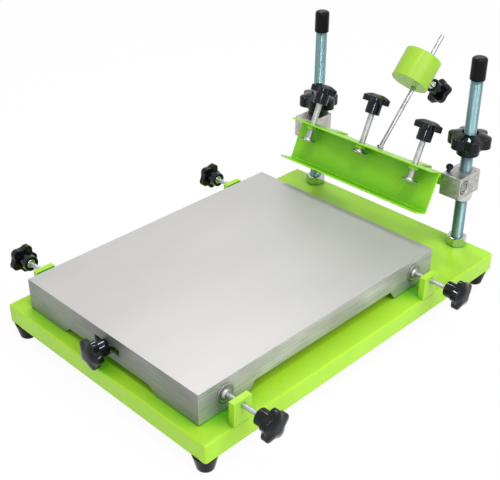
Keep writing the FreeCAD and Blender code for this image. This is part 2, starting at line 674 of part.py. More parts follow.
x, y, z = rod_point(inside, middle)
screw = rod("weight_screw_stem", d.rod_r, d.weight_reach + d.weight_depth - inside, x, y, z, turn=turned_out)
keep("weight_screw", screw)
x, y, z = rod_point(d.weight_reach, middle)
knob = small_star("weight_knob", d.rod_r, d.weight_depth, 44.0)
keep("weight_knob", place(knob, x, y, z, turn=turned_out))

# Every object is checked before any piece is written.
doc.recompute()
for thing in doc.Objects:
    assert not {"Invalid", "Error"} & set(thing.State), (thing.Name, thing.State)
    if hasattr(thing, "Shape") and thing.TypeId.startswith("Part"):
        assert not thing.Shape.isNull() and thing.Shape.isValid(), thing.Name
os.makedirs("parts", exist_ok=True)
whole = FreeCAD.BoundBox()
for name, thing in nodes.items():
    assert len(thing.Shape.Solids) == 1, (name, len(thing.Shape.Solids))
    thing.Shape.exportStep("parts/%s.step" % name)
    whole.add(thing.Shape.BoundBox)
print(len(nodes), "pieces", whole)
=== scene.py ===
"""The looks of a flatbed screen printing machine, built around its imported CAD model.

Lengths are in metres unless a name ends in _mm. X runs across the machine, Y from its front edge to the
clamp head at the back and Z up from the floor.
"""
import math

import bpy
import numpy as np
from mathutils import Matrix, Vector


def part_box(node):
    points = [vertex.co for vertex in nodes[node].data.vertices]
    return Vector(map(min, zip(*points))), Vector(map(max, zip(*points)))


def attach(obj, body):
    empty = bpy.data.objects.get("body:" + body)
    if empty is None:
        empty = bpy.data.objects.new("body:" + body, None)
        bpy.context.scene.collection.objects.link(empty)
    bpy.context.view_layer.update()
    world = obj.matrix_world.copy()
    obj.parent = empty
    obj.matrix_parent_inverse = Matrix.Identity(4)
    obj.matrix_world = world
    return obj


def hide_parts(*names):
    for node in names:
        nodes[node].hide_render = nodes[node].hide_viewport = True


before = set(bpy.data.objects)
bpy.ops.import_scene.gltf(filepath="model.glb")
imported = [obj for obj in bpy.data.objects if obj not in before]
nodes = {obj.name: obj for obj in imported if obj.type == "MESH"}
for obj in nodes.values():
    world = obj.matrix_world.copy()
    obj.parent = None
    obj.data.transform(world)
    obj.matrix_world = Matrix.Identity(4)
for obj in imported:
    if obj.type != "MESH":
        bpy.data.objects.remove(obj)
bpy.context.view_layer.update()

MM = 0.001
TAU = 2 * math.pi


def span(name):
    """Lowest corner, middle and highest corner of a CAD node, in millimetres."""
    low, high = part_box(name)
    return low / MM, (low + high) / 2 / MM, high / MM


# Places of the CAD model, in millimetres, that the pieces below are set from.
TRAY_FRONT = span("base_tray")[0].y
TRAY_TOP = span("base_tray")[2].z
PLATEN_FRONT = span("platen")[0].y
SCREW_Z = span("front_screw")[1].z
SCREW_Y = {end: span("side_screw_%s_right" % end)[1].y for end in ("front", "rear")}
BLOCK_LOW, BLOCK_MIDDLE, BLOCK_HIGH = span("block_right")
BLOCK_TOP = BLOCK_HIGH.z
POST_X = BLOCK_MIDDLE.x
POST_Y = span("cap_right")[1].y
HINGE_Y = POST_Y - 22.0
HINGE_Z = BLOCK_MIDDLE.z
TILT = math.radians(24.5)
ROD_TILT = math.radians(43.7)
WEIGHT_TURN = math.radians(12.0)
KNOB_X = span("side_knob_rear_right")[0].x
CLAMP_X = span("clamp_screw_right")[1].x
SIDES = (("left", -1), ("right", 1))
CLAMPS = (("left", -1), ("middle", 0), ("right", 1))


# Finishes

class Finish:
    """A material made of nodes around one Principled shader."""

    def __init__(self, name, **values):
        self.material = bpy.data.materials.new(name)
        self.material.use_nodes = True
        self.tree = self.material.node_tree
        self.shader = self.tree.nodes["Principled BSDF"]
        self.place = self.node("ShaderNodeTexCoord").outputs["Object"]
        for key, value in values.items():
            self.shader.inputs[key.replace("_", " ")].default_value = value

    def node(self, kind, inputs=(), **settings):
        made = self.tree.nodes.new(kind)
        for key, value in settings.items():
            setattr(made, key, value)
        for key, value in dict(inputs).items():
            if isinstance(value, bpy.types.NodeSocket):
                self.tree.links.new(value, made.inputs[key])
            else:
                made.inputs[key].default_value = value
        return made

    def stretched(self, scale, turn=(0, 0, 0)):
        """Places stretched along an axis, for grain and brushing."""
        return self.node("ShaderNodeMapping", {
            "Vector": self.place, "Scale": scale, "Rotation": turn}).outputs[0]

    def noise(self, scale, detail=2.0, vector=None, rough=0.5):
        return self.node("ShaderNodeTexNoise", {
            "Vector": vector or self.place, "Scale": scale, "Detail": detail, "Roughness": rough}).outputs[0]

    def ramp(self, value, low, high, from_low=0.0, from_high=1.0):
        return self.node("ShaderNodeMapRange", {
            0: value, 1: from_low, 2: from_high, 3: low, 4: high}).outputs[0]

    def between(self, value, first, second):
        """A colour between two, by a value."""
        made = self.node("ShaderNodeMix", data_type="RGBA")
        self.tree.links.new(value, made.inputs[0])
        for socket, colour in ((made.inputs[6], first), (made.inputs[7], second)):
            if isinstance(colour, bpy.types.NodeSocket):
                self.tree.links.new(colour, socket)
            else:
                socket.default_value = (*colour, 1.0)
        return made.outputs[2]

    def link(self, value, socket):
        self.tree.links.new(value, self.shader.inputs[socket])

    def bump(self, height, strength, distance, normal=None):
        made = self.node("ShaderNodeBump", {"Height": height, "Strength": strength, "Distance": distance})
        if normal is not None:
            self.tree.links.new(normal, made.inputs["Normal"])
        self.link(made.outputs[0], "Normal")
        return made.outputs[0]


def green_paint(name, light, shade_tone, reach, closed, clear):
    """Gloss powder coat: a faint orange peel under an even shine, with painted shade that darkens it in
    corners and folds.

    reach is how far from a fold the painted shade is felt. closed is the openness below which the painted
    shade is full, clear the openness above which the light tone is.
    """
    f = Finish(name, Roughness=0.32, Coat_Weight=0.06, Coat_Roughness=0.08, Specular_IOR_Level=0.26)
    patches = f.ramp(f.noise(14.0, 3.0), 0.95, 1.05, 0.3, 0.7)
    # Painted shade: ambient occlusion turns the paint towards its shaded tone in corners, folds and under
    # parts.
    around = f.node("ShaderNodeAmbientOcclusion", {"Distance": reach}, samples=8).outputs["AO"]
    tone = f.between(f.ramp(around, 0.0, 1.0, closed, clear), shade_tone, light)
    colour = f.node("ShaderNodeVectorMath", {0: tone, 1: patches}, operation="MULTIPLY").outputs[0]
    f.link(colour, "Base Color")
    f.link(f.ramp(f.noise(60.0, 3.0), 0.27, 0.35, 0.3, 0.7), "Roughness")
    f.bump(f.noise(650.0, 2.0), 0.08, 0.0003)
    return f.material


def ground_steel():
    """Sheet steel: a top ground along the machine with a fine uneven grain, and brushed walls with painted
    shade: the walls facing front and back darkest, those facing the ends lighter.
    """
    f = Finish("ground_steel", Metallic=0.7, Roughness=0.5, Specular_IOR_Level=0.3)
    grain = f.noise(1.0, 5.0, f.stretched((1500.0, 22.0, 1500.0)), 0.7)
    cloud = f.noise(7.0, 4.0, f.stretched((1.0, 0.4, 1.0)))
    tone = f.node("ShaderNodeMath", {0: grain, 1: cloud}, operation="ADD").outputs[0]
    top = f.between(f.ramp(tone, 0.0, 1.0, 0.75, 1.25), (0.432, 0.426, 0.414), (0.490, 0.484, 0.470))
    streaks = f.noise(1.0, 4.0, f.stretched((26.0, 14.0, 420.0), (0.05, 0.0, 0.0)), 0.65)
    patches = f.noise(16.0, 3.0, f.stretched((1.0, 1.0, 2.2)))
    worn = f.node("ShaderNodeMath", {0: streaks, 1: patches}, operation="ADD").outputs[0]
    shine = f.ramp(worn, 0.0, 1.0, 0.72, 1.28)
    # Painted shade by facing: walls facing front or back take the darker tones, walls facing the ends the
    # lighter ones.
    front_wall_shade = f.between(shine, (0.230, 0.240, 0.225), (0.330, 0.340, 0.315))
    side_wall_light = f.between(shine, (0.330, 0.340, 0.315), (0.600, 0.600, 0.580))
    facing = f.node("ShaderNodeSeparateXYZ", {0: f.node("ShaderNodeTexCoord").outputs["Normal"]})
    across = f.node("ShaderNodeMath", {0: facing.outputs[0]}, operation="ABSOLUTE").outputs[0]
    wall = f.between(f.ramp(across, 0.0, 1.0, 0.25, 0.75), front_wall_shade, side_wall_light)
    f.link(f.between(f.ramp(facing.outputs[2], 0.0, 1.0, 0.25, 0.75), wall, top), "Base Color")
    f.link(f.ramp(grain, 0.44, 0.56, 0.3, 0.7), "Roughness")
    f.bump(grain, 0.10, 0.0002)
    return f.material


def plated_steel(name, low, high, rough, streak=(1.0, 1.0, 1.0)):
    """Bright zinc plate over turned steel. streak stretches its clouds into long bands; on the posts these
    are drawn lines and painted reflections, dark to light along the axis.
    """
    f = Finish(name, Metallic=1.0, Roughness=rough)
    cloud = f.ramp(f.noise(90.0, 3.0, f.stretched(streak), 0.6), 0.0, 1.0, 0.3, 0.7)
    f.link(f.between(cloud, low, high), "Base Color")
    f.link(f.ramp(f.noise(400.0, 2.0), rough - 0.05, rough + 0.06, 0.3, 0.7), "Roughness")
    return f.material


def aluminium():
    """Sawn and milled aluminium bar with fine cutter marks."""
    f = Finish("aluminium", Metallic=1.0, Roughness=0.42)
    marks = f.noise(1.0, 3.0, f.stretched((60.0, 60.0, 2600.0)), 0.6)
    mottle = f.noise(150.0, 4.0, None, 0.65)
    worn = f.node("ShaderNodeMath", {0: marks, 1: mottle}, operation="ADD").outputs[0]
    shine = f.ramp(worn, 0.0, 1.0, 0.75, 1.25)
    f.link(f.between(shine, (0.370, 0.360, 0.338), (0.660, 0.650, 0.620)), "Base Color")
    f.link(f.ramp(marks, 0.36, 0.50, 0.3, 0.7), "Roughness")
    f.bump(marks, 0.15, 0.0001)
    return f.material


def black_plastic():
    """Moulded gloss plastic, nearly black."""
    f = Finish("black_plastic", Roughness=0.08, Specular_IOR_Level=0.30, Specular_Tint=(0.86, 0.94, 1.0, 1.0))
    f.link(f.between(f.noise(70.0, 2.0), (0.0018, 0.0022, 0.0030), (0.0036, 0.0040, 0.0050)), "Base Color")
    f.link(f.ramp(f.noise(300.0, 3.0), 0.05, 0.10, 0.3, 0.7), "Roughness")
    f.bump(f.noise(900.0, 2.0), 0.02, 0.0002)
    return f.material


def rubber():
    f = Finish("rubber", Roughness=0.2, Specular_IOR_Level=0.14)
    f.link(f.between(f.noise(120.0, 3.0), (0.0020, 0.0024, 0.0032), (0.0050, 0.0054, 0.0064)), "Base Color")
    f.link(f.ramp(f.noise(260.0, 3.0), 0.15, 0.27, 0.3, 0.7), "Roughness")
    f.bump(f.noise(1200.0, 2.0), 0.05, 0.0002)
    return f.material


def painted_gap_shade():
    """Painted shade: a near-black tone for the narrow gaps around a bush."""
    f = Finish("painted_gap_shade", Roughness=0.6, Specular_IOR_Level=0.05)
    f.link(f.between(f.noise(500.0, 2.0), (0.016, 0.013, 0.010), (0.040, 0.033, 0.026)), "Base Color")
    return f.material


# The last three numbers of each green set its painted shade: the tray's and the weight's stay near folds,
# while the channel's reaches 80 mm and darkens its whole inside.
GREEN = green_paint("green_paint", (0.375, 0.690, 0.032), (0.030, 0.390, 0.006), 0.030, 0.27, 0.82)
WEIGHT_GREEN = green_paint("weight_paint", (0.330, 0.575, 0.042), (0.055, 0.330, 0.006), 0.026, 0.40, 0.80)
CHANNEL_GREEN = green_paint("channel_paint", (0.290, 0.690, 0.019), (0.090, 0.400, 0.006), 0.080, 0.24, 0.90)
STEEL = ground_steel()
# The posts' bands run from dark to light teal along their length: drawn lines made strong as painted
# reflections.
BLUE_ZINC = plated_steel("blue_zinc", (0.06, 0.14, 0.15), (0.34, 0.50, 0.54), 0.34, (3.2, 3.2, 0.04))
ZINC = plated_steel("zinc", (0.50, 0.53, 0.52), (0.68, 0.70, 0.69), 0.18)
DARK_ZINC = plated_steel("dark_zinc", (0.40, 0.46, 0.41), (0.54, 0.60, 0.55), 0.14)
BRIGHT = plated_steel("bright_zinc", (0.25, 0.26, 0.26), (0.50, 0.51, 0.51), 0.24)
SCREW = plated_steel("screw_zinc", (0.33, 0.34, 0.34), (0.56, 0.57, 0.57), 0.46)
TURNED = plated_steel("turned_steel", (0.27, 0.27, 0.25), (0.42, 0.42, 0.40), 0.42)
ALUMINIUM = aluminium()
PLASTIC = black_plastic()
RUBBER = rubber()
GAP_SHADE = painted_gap_shade()


# Shapes. Each is a list of points and a list of faces around its own Z axis, in millimetres.

def ring_faces(rows, count, first=0):
    """Faces between closed rings of points that follow one another."""
    faces = []
    for r in range(rows - 1):
        a = first + r * count
        for i in range(count):
            j = (i + 1) % count
            faces.append((a + i, a + j, a + count + j, a + count + i))
    return faces


def lathe(profile, count=64, closed=False):
    """Turns a profile of (radius, height) points. A radius of 0 at an end closes it with a fan."""
    points, faces, rings = [], [], []
    for radius, z in profile:
        if radius < 1e-6:
            rings.append([len(points)])
            points.append((0.0, 0.0, z))
        else:
            rings.append(list(range(len(points), len(points) + count)))
            points += [(radius * math.cos(TAU * i / count), radius * math.sin(TAU * i / count), z)
                       for i in range(count)]
    pairs = list(zip(rings, rings[1:]))
    if closed:
        pairs.append((rings[-1], rings[0]))
    for low, high in pairs:
        for i in range(count):
            j = (i + 1) % count
            quad = (low[i % len(low)], low[j % len(low)], high[j % len(high)], high[i % len(high)])
            face = tuple(dict.fromkeys(quad))
            if len(face) > 2:
                faces.append(face)
    return points, faces


def rounded(profile, radius, steps=5):
    """The same profile with its inner corners rounded by short arcs."""
    out = [profile[0]]
    for before, corner, after in zip(profile, profile[1:], profile[2:]):
        b, c, a = (np.array(p, float) for p in (before, corner, after))
        u, v = b - c, a - c
        r = min(radius, 0.45 * np.linalg.norm(u), 0.45 * np.linalg.norm(v))
        u, v = u / np.linalg.norm(u), v / np.linalg.norm(v)
        start, end = c + u * r, c + v * r
        for k in range(steps + 1):
            t = k / steps
            p = (1 - t) ** 2 * start + 2 * t * (1 - t) * c + t ** 2 * end
            out.append((float(p[0]), float(p[1])))
    out.append(profile[-1])
    return out


def thread(crest, pitch, length, count=32, depth=0.55, lead=1.0):
    """A threaded rod with chamfered ends, with a crest and a root of real width."""
    root = crest - depth * pitch
    turns = int(length / pitch) + 2
    steps = np.array([n + s for n in range(-1, turns) for s in (0.0, 0.16, 0.48, 0.68)])
    radii = np.array([[crest, crest, root, root][k % 4] for k in range(len(steps))])
    total = len(steps)
    points = []
    for j in range(count):
        turn = j / count
        for k in range(total):
            z = (steps[k] + turn) * pitch
            z_in = min(max(z, 0.0), length)
            edge = min(z_in, length - z_in)
            radius = min(radii[k], root - 0.15 + edge * lead)
            angle = TAU * turn
            points.append((radius * math.cos(angle), radius * math.sin(angle), z_in))
    faces = []
    for j in range(count):
        for k in range(total - 1):
            a, b = j * total + k, j * total + k + 1
            if j + 1 < count:
                c, e = (j + 1) * total + k + 1, (j + 1) * total + k
            else:
                c, e = k + 5, k + 4
                if c >= total:
                    continue
            faces.append((a, e, c, b))
    for z_end in (0.0, length):
        centre = len(points)
        points.append((0.0, 0.0, z_end))
        rim = root - 0.15
        base = len(points)
        points += [(rim * math.cos(TAU * j / count), rim * math.sin(TAU * j / count), z_end)
                   for j in range(count)]
        for j in range(count):
            i = (j + 1) % count
            faces.append((centre, base + i, base + j) if z_end == 0.0 else (centre, base + j, base + i))
    return points, faces


def hexagon(flats, height, bore, chamfer=0.94, count=72):
    """A hexagon nut with chamfered ends and a countersunk bore."""
    inner = flats / 2 * chamfer

    def outer(i):
        angle = (i * 360.0 / count + 30.0) % 60.0 - 30.0
        return flats / 2 / math.cos(math.radians(angle))

    drop = [max(0.0, (outer(i) - inner) * math.tan(math.radians(30))) for i in range(count)]
    sink = min(0.6, height * 0.12)
    rows = [
        [(bore, sink)] * count, [(bore + sink, 0.0)] * count, [(inner, 0.0)] * count,
        [(outer(i), drop[i]) for i in range(count)], [(outer(i), height - drop[i]) for i in range(count)],
        [(inner, height)] * count, [(bore + sink, height)] * count, [(bore, height - sink)] * count,
    ]
    rows.append(rows[0])
    points = []
    for row in rows[:-1]:
        points += [(r * math.cos(TAU * i / count), r * math.sin(TAU * i / count), z)
                   for i, (r, z) in enumerate(row)]
    faces = ring_faces(len(rows) - 1, count)
    last = (len(rows) - 2) * count
    faces += [(last + i, last + (i + 1) % count, (i + 1) % count, i) for i in range(count)]
    return points, faces


def star_ring(radius, inset, turn, lobes, lobe, web, steps=8):
    """One ring of a lobed outline: round lobes with smooth hollows between them."""
    part = math.pi / lobes
    a = radius * lobe
    d = radius - a
    c = radius * web
    e = d * math.cos(part) + math.sqrt((a + c) ** 2 - (d * math.sin(part)) ** 2)
    reach = math.acos(max(-1.0, min(1.0, (d * d + (a + c) ** 2 - e * e) / (2 * d * (a + c)))))
    sweep = math.pi - reach
    hollow = math.acos(max(-1.0, min(1.0, (e * e + (a + c) ** 2 - d * d) / (2 * e * (a + c)))))
    ring = []
    for n in range(lobes):
        at = turn + n * part * 2
        cx, cy = d * math.cos(at), d * math.sin(at)
        for k in range(steps + 1):
            angle = at - sweep + 2 * sweep * k / steps
            ring.append((cx + (a - inset) * math.cos(angle), cy + (a - inset) * math.sin(angle)))
        mid = at + part
        hx, hy = e * math.cos(mid), e * math.sin(mid)
        for k in range(1, steps):
            angle = mid + math.pi + hollow - 2 * hollow * k / steps
            ring.append((hx + (c + inset) * math.cos(angle), hy + (c + inset) * math.sin(angle)))
    return ring


def star_knob(radius, star, hub_r, hub, head, bore, turn=0.0, dome=0.19, through=False, recess_r=None,
              recess=3.0):
    """A moulded lobed knob: a hub from height 0 and a domed head above it.

    star holds the number of lobes and, as shares of the radius, the rounding of a lobe, of a hollow by the
    hub and of a hollow by the face. dome is the rise of the face, as such a share too. through leaves the
    head open, with a recess around the bore.
    """
    points, faces = [], []

    def add(rings, closed_last=None):
        first = len(points)
        count = len(rings[0])
        for ring in rings:
            points.extend(ring)
        faces.extend(ring_faces(len(rings), count, first))
        if closed_last is not None:
            top = len(points)
            points.append((0.0, 0.0, closed_last))
            last = first + (len(rings) - 1) * count
            faces.extend([(last + i, last + (i + 1) % count, top) for i in range(count)])

    top = hub + head
    soft = radius * 0.07
    crown = radius * dome

    lobes, lobe, hub_web, face_web = star

    def outline(inset, web=face_web):
        return star_ring(radius, inset, turn, lobes, lobe, web)

    def level(inset, z, web=face_web):
        return [(x, y, z) for x, y in outline(inset, web)]

    def round_ring(r, z):
        out = []
        for x, y in outline(0.0):
            angle = math.atan2(y, x)
            out.append((r * math.cos(angle), r * math.sin(angle), z))
        return out

    def towards(r, share, z):
        """A ring between the head's edge and a circle."""
        return [(x + (a - x) * share, y + (b - y) * share, z)
                for (x, y), (a, b, _) in zip(outline(soft), round_ring(r, 0.0))]

    rings = [round_ring(hub_r * 0.96, hub + 0.5), level(radius * 0.05, hub + 0.1, hub_web),
             level(radius * 0.015, hub + 0.25, hub_web), level(0.0, hub + 0.8, hub_web)]
    side_top = top - crown - soft
    for k in range(6):
        angle = math.pi / 2 * k / 5
        rings.append(level(soft * (1 - math.cos(angle)), side_top + soft * math.sin(angle)))
    end = recess_r if through else radius * 0.3
    for share in (0.2, 0.4, 0.6, 0.8):
        rings.append(towards(end, share, side_top + soft + crown * math.sin(share * math.pi / 2) * 0.96))
    if through:
        rings += [round_ring(end + 0.5, top), round_ring(end, top - 0.5), round_ring(end, top - recess),
                  round_ring(bore + 0.01, top - recess)]
        add(rings)
    else:
        rings += [round_ring(end, top - 0.02), round_ring(end * 0.5, top)]
        add(rings, closed_last=top)

    count = 72

    def hub_ring(r, z):
        return [(r * math.cos(TAU * i / count), r * math.sin(TAU * i / count), z)
                for i in range(count)]

    if through:
        rows = [hub_ring(bore, 0.6), hub_ring(bore + 0.6, 0.0)]
    else:
        dish = hub_r * 0.68
        rows = [hub_ring(bore, 2.2), hub_ring(dish, 2.2), hub_ring(dish + 0.2, 0.2),
                hub_ring(dish + 0.4, 0.0)]
    rows += [hub_ring(hub_r - 0.8, 0.0), hub_ring(hub_r - 0.25, 0.2), hub_ring(hub_r, 0.8),
             hub_ring(hub_r, hub + 1.2)]
    add(rows)
    return points, faces


def moved(shape, x=0.0, y=0.0, z=0.0):
    points, faces = shape
    return [(a + x, b + y, c + z) for a, b, c in points], faces


def joined(*shapes):
    points, faces = [], []
    for part_points, part_faces in shapes:
        first = len(points)
        points += list(part_points)
        faces += [tuple(first + i for i in face) for face in part_faces]
    return points, faces


# Where each shape goes.

def upright(x, y, z):
    return Matrix.Translation(Vector((x, y, z)) * MM)


def sideways(sign, x, y, z):
    """The shape's Z axis points right or left."""
    return upright(x, y, z) @ Matrix.Rotation(math.pi / 2 * sign, 4, "Y")


def forwards(x, y, z):
    return upright(x, y, z) @ Matrix.Rotation(math.pi / 2, 4, "X")


HEAD = upright(0, HINGE_Y, HINGE_Z) @ Matrix.Rotation(-TILT, 4, "X")
ROD = upright(0, HINGE_Y, HINGE_Z) @ Matrix.Rotation(-ROD_TILT, 4, "X")
TO_KNOB = Matrix.Rotation(-WEIGHT_TURN, 4, "Z") @ Matrix.Rotation(-math.pi / 2, 4, "X")


def on_head(x, ahead, above):
    return HEAD @ upright(x, -ahead, above)


def even_normals(made):
    """Lets the large faces set the shading, so that long sides catch the light in straight lines."""
    even = made.modifiers.new("even", "WEIGHTED_NORMAL")
    even.weight = 100
    even.keep_sharp = True


def piece(name, shape, matrix, material, body, replaces=(), sharp=32.0, smooth=True):
    """Makes a piece from a shape in millimetres and lets it ride on its body."""
    points, faces = shape
    mesh = bpy.data.meshes.new(name)
    mesh.from_pydata([Vector(p) * MM for p in points], [], faces)
    mesh.validate()
    made = bpy.data.objects.new(name, mesh)
    bpy.context.scene.collection.objects.link(made)
    made.matrix_world = matrix
    weld = made.modifiers.new("weld", "WELD")
    weld.merge_threshold = 1e-6
    bpy.context.view_layer.update()
    done = bpy.data.meshes.new_from_object(made.evaluated_get(bpy.context.evaluated_depsgraph_get()))
    made.modifiers.clear()
    made.data = done
    done.name = name
    if smooth:
        done.shade_smooth()
        done.set_sharp_from_angle(angle=math.radians(sharp))
        even_normals(made)
    done.materials.clear()
    done.materials.append(material)
    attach(made, body)
    if replaces:
        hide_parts(*replaces)
    return made


# CAD nodes that stay: each gets its finish, and all but the feet get fine bevels that catch the light.

def dress(name, material, bevel_mm=0.0, segments=3, angle=30.0, flats=False):
    """flats joins the triangles of each flat side into one face, which keeps its shading even."""
    node = nodes[name]
    node.data.materials.clear()
    node.data.materials.append(material)
    weld = node.modifiers.new("weld", "WELD")
    weld.merge_threshold = 2e-6
    if flats:
        merge = node.modifiers.new("flats", "DECIMATE")
        merge.decimate_type = "DISSOLVE"
        merge.angle_limit = math.radians(0.2)
    if bevel_mm:
        bevel = node.modifiers.new("bevel", "BEVEL")
        bevel.width = bevel_mm * MM
        bevel.segments = segments
        bevel.limit_method = "ANGLE"
        bevel.angle_limit = math.radians(angle)
    node.data.shade_smooth()
    node.data.set_sharp_from_angle(angle=math.radians(30))
    even_normals(node)
    return node


CORNERS = [end + "_" + side for end in ("front", "rear") for side, _ in SIDES]
dress("base_tray", GREEN, 0.5, flats=True)
dress("front_bracket", GREEN, 0.8)
dress("clamp_channel", CHANNEL_GREEN, 0.5)
dress("counterweight", WEIGHT_GREEN, 0.8)
dress("platen", STEEL, 0.35)
dress("hinge_shaft", GREEN, 0.5)
for corner in CORNERS:
    dress("lug_" + corner, GREEN, 0.8, flats=True)
    dress("foot_" + corner, RUBBER)
for side, _ in SIDES:
    dress("block_" + side, ALUMINIUM, 0.7)


# Star knobs on their threaded screws.

STAR_TURNS = {"front_left": 30.0, "front_right": 28.0, "rear_left": 30.0, "rear_right": 39.0}
WHEEL_TURNS = {"left": 55.0, "right": 18.0}
NUT_TURNS = {"left": 0.0, "right": 19.0}
NUT_FLATS, NUT_TALL = 24.0, 13.0
POST_FOOT = 31.0
POST_BORE = 8.3
PAD_FACE = 150.3
CLAMP_AHEAD = 43.0
FIVE_LOBES = (5, 0.36, 0.28, 0.80)
SIX_LOBES = (6, 0.33, 0.28, 0.30)


def small_knob(name, matrix, body, turn, bore=3.0):
    shape = star_knob(18.75, FIVE_LOBES, 10.0, 15.0, 12.0, bore, math.radians(turn))
    piece("looks_" + name, shape, matrix, PLASTIC, body, [name])
    collar = lathe(rounded([(bore, 2.1), (bore, 0.9), (5.6, 0.9), (5.8, 2.3)], 0.3), 40)
    piece("insert_" + name, collar, matrix, ZINC, body)


def screw_with_pad(name, node, body, matrix, stem, socket, pad_r):
    """A threaded screw in a bright socket, and its duller pad."""
    cup = lathe(rounded([(0.0, 1.0), (6.4, 1.0), (6.4, 1.9), (5.2, 4.4), (3.0, 4.8)], 0.7), 48)
    piece("looks_" + name, joined(stem, moved(cup, z=socket)), matrix, SCREW, body, [node])
    disc = lathe(rounded([(0.0, 0.0), (pad_r - 0.4, 0.0), (pad_r, 0.4), (pad_r, 1.1), (pad_r - 0.7, 1.6),
                          (pad_r - 2.6, 1.6), (pad_r - 3.0, 1.25), (0.0, 1.25)], 0.25), 56)
    piece("pad_" + name, disc, matrix, TURNED, body)


for end in ("front", "rear"):
    for side, sign in SIDES:
        corner = end + "_" + side
        body = "side_adjuster_" + corner
        at = sideways(sign, PAD_FACE * sign, SCREW_Y[end], SCREW_Z)
        name = "side_screw_" + corner
        screw_with_pad(name, name, body, at, moved(thread(3.0, 1.0, 65.0, 24, 0.16), z=1.0), 0.0, 12.0)
        knob_at = sideways(sign, KNOB_X * sign, SCREW_Y[end], SCREW_Z)
        small_knob("side_knob_" + corner, knob_at, body, STAR_TURNS[corner])

at = forwards(0, PLATEN_FRONT + 46.0, SCREW_Z)
collar = moved(lathe(rounded([(3.0, 0.0), (8.0, 0.0), (8.0, 3.0), (3.0, 3.0)], 0.4), 48), z=38.0)
piece("looks_front_screw", joined(thread(3.0, 1.0, 63.0, 24, 0.32), collar), at, ZINC, "front_adjuster",
      ["front_screw"])
small_knob("front_knob", forwards(0, PLATEN_FRONT - 2.0, SCREW_Z), "front_adjuster", 0.0)

LIFTS = {"left": 0.0, "middle": 11.0, "right": 1.2}
for side, sign in CLAMPS:
    lift = LIFTS[side]
    body = "clamp_" + side
    pad_at = on_head(CLAMP_X * sign, CLAMP_AHEAD, lift - 13.5)
    name = "clamp_screw_" + side
    screw_with_pad(name, name, body, pad_at, moved(thread(4.0, 1.25, 67.0, 28, 0.10), z=1.0), 0.0, 11.0)
    knob_at = on_head(CLAMP_X * sign, CLAMP_AHEAD, lift + 40.0)
    small_knob("clamp_knob_" + side, knob_at, body, 15.0, 4.0)

# Threaded posts with their nuts and caps, and the large star knobs on them.
POST_TOP = span("post_right")[2].z
CAP_LOW, _, CAP_HIGH = span("cap_right")
for side, sign in SIDES:
    x = POST_X * sign
    stud = moved(thread(7.9, 1.5, POST_TOP - POST_FOOT, 40, 0.3), z=POST_FOOT)
    foot = moved(hexagon(NUT_FLATS, NUT_TALL, 6.5), z=POST_FOOT)
    piece("looks_post_" + side, joined(stud, foot), upright(x, POST_Y, 0), BLUE_ZINC, "base",
          ["post_" + side])
    turned = Matrix.Rotation(math.radians(NUT_TURNS[side]), 4, "Z")
    piece("looks_base_nut_" + side, hexagon(NUT_FLATS, NUT_TALL, 7.95),
          upright(x, POST_Y, TRAY_TOP) @ turned, DARK_ZINC, "base", ["base_nut_" + side])
    low = span("block_nut_" + side)[0].z
    piece("looks_block_nut_" + side, hexagon(NUT_FLATS, NUT_TALL, POST_BORE),
          upright(x, POST_Y, low) @ turned, ZINC, "carriage", ["block_nut_" + side])
    tall = CAP_HIGH.z - CAP_LOW.z
    cap = lathe(rounded([(8.0, 0.5), (8.1, 0.0), (9.5, 0.0), (9.8, 0.5)], 0.3)
                + rounded([(9.8, 0.6), (9.8, tall), (0.0, tall)], 4.5, 8), 64)
    piece("looks_cap_" + side, cap, upright(x, POST_Y, CAP_LOW.z), RUBBER, "base", ["cap_" + side])
    shape = star_knob(28.0, SIX_LOBES, 14.75, 12.2, 18.0, POST_BORE,
                      math.radians(WHEEL_TURNS[side]), 0.12, True, 10.5, 3.0)
    wheel_low = span("handwheel_" + side)[0].z
    piece("looks_handwheel_" + side, shape, upright(x, POST_Y, wheel_low), PLASTIC, "wheel_" + side,
          ["handwheel_" + side])

# Shaft ends in their bushes, and the small stop on the right block.
BLOCK_OUT = BLOCK_HIGH.x
for side, sign in SIDES:
    at = sideways(sign, (BLOCK_OUT - 1.0) * sign, HINGE_Y, HINGE_Z)
    bush = lathe(rounded([(5.8, 0.0), (5.8, 0.9), (8.3, 0.9), (8.3, 0.0)], 0.3), 64)
    piece("looks_bush_" + side, bush, at, TURNED, "carriage")
    # Painted shade: a dark sheet behind the bush fills the gaps around it.
    gap_shade_sheet = lathe([(4.9, 0.25), (9.45, 0.25)], 64)
    piece("shaded_gap_bush_" + side, gap_shade_sheet, at, GAP_SHADE, "carriage")
    end_disc = lathe(rounded([(4.7, 0.3), (4.7, 0.95), (0.0, 0.95)], 0.4), 48)
    piece("looks_shaft_end_" + side, end_disc, at, TURNED, "head")
STOP = upright(BLOCK_LOW.x + 3.6, BLOCK_LOW.y + 11.0, BLOCK_TOP) @ Matrix.Rotation(math.radians(10), 4, "Y")
stop = lathe(rounded([(0.0, -0.4), (2.6, -0.4), (2.6, 3.4)], 0.2)
             + rounded([(2.8, 3.4), (4.3, 3.8), (5.0, 7.2), (3.8, 9.4), (0.0, 9.7)], 1.0), 40)
piece("looks_block_stop", stop, STOP, PLASTIC, "carriage")

# Smooth counterweight rod with its lock nut, and the weight's lock screw.
bar = lathe([(0.0, -6.0), (2.4, -6.0), (3.0, -5.4), (3.0, 187.4), (2.4, 188.0), (0.0, 188.0)], 40)
nut = moved(hexagon(8.5, 3.5, 2.6, count=48), z=8.3)
piece("looks_counterweight_rod", joined(bar, nut), ROD, BRIGHT, "head", ["counterweight_rod"])
screw_at = ROD @ upright(0, 0, 126.0) @ TO_KNOB
piece("looks_weight_screw", moved(thread(3.0, 1.0, 39.6, 24, 0.32), z=3.3), screw_at, ZINC, "weight_slider",
      ["weight_screw"])
small_knob("weight_knob", screw_at @ upright(0, 0, 29.0), "weight_slider", 44.0, 3.0)


# Camera at the photograph's angle.

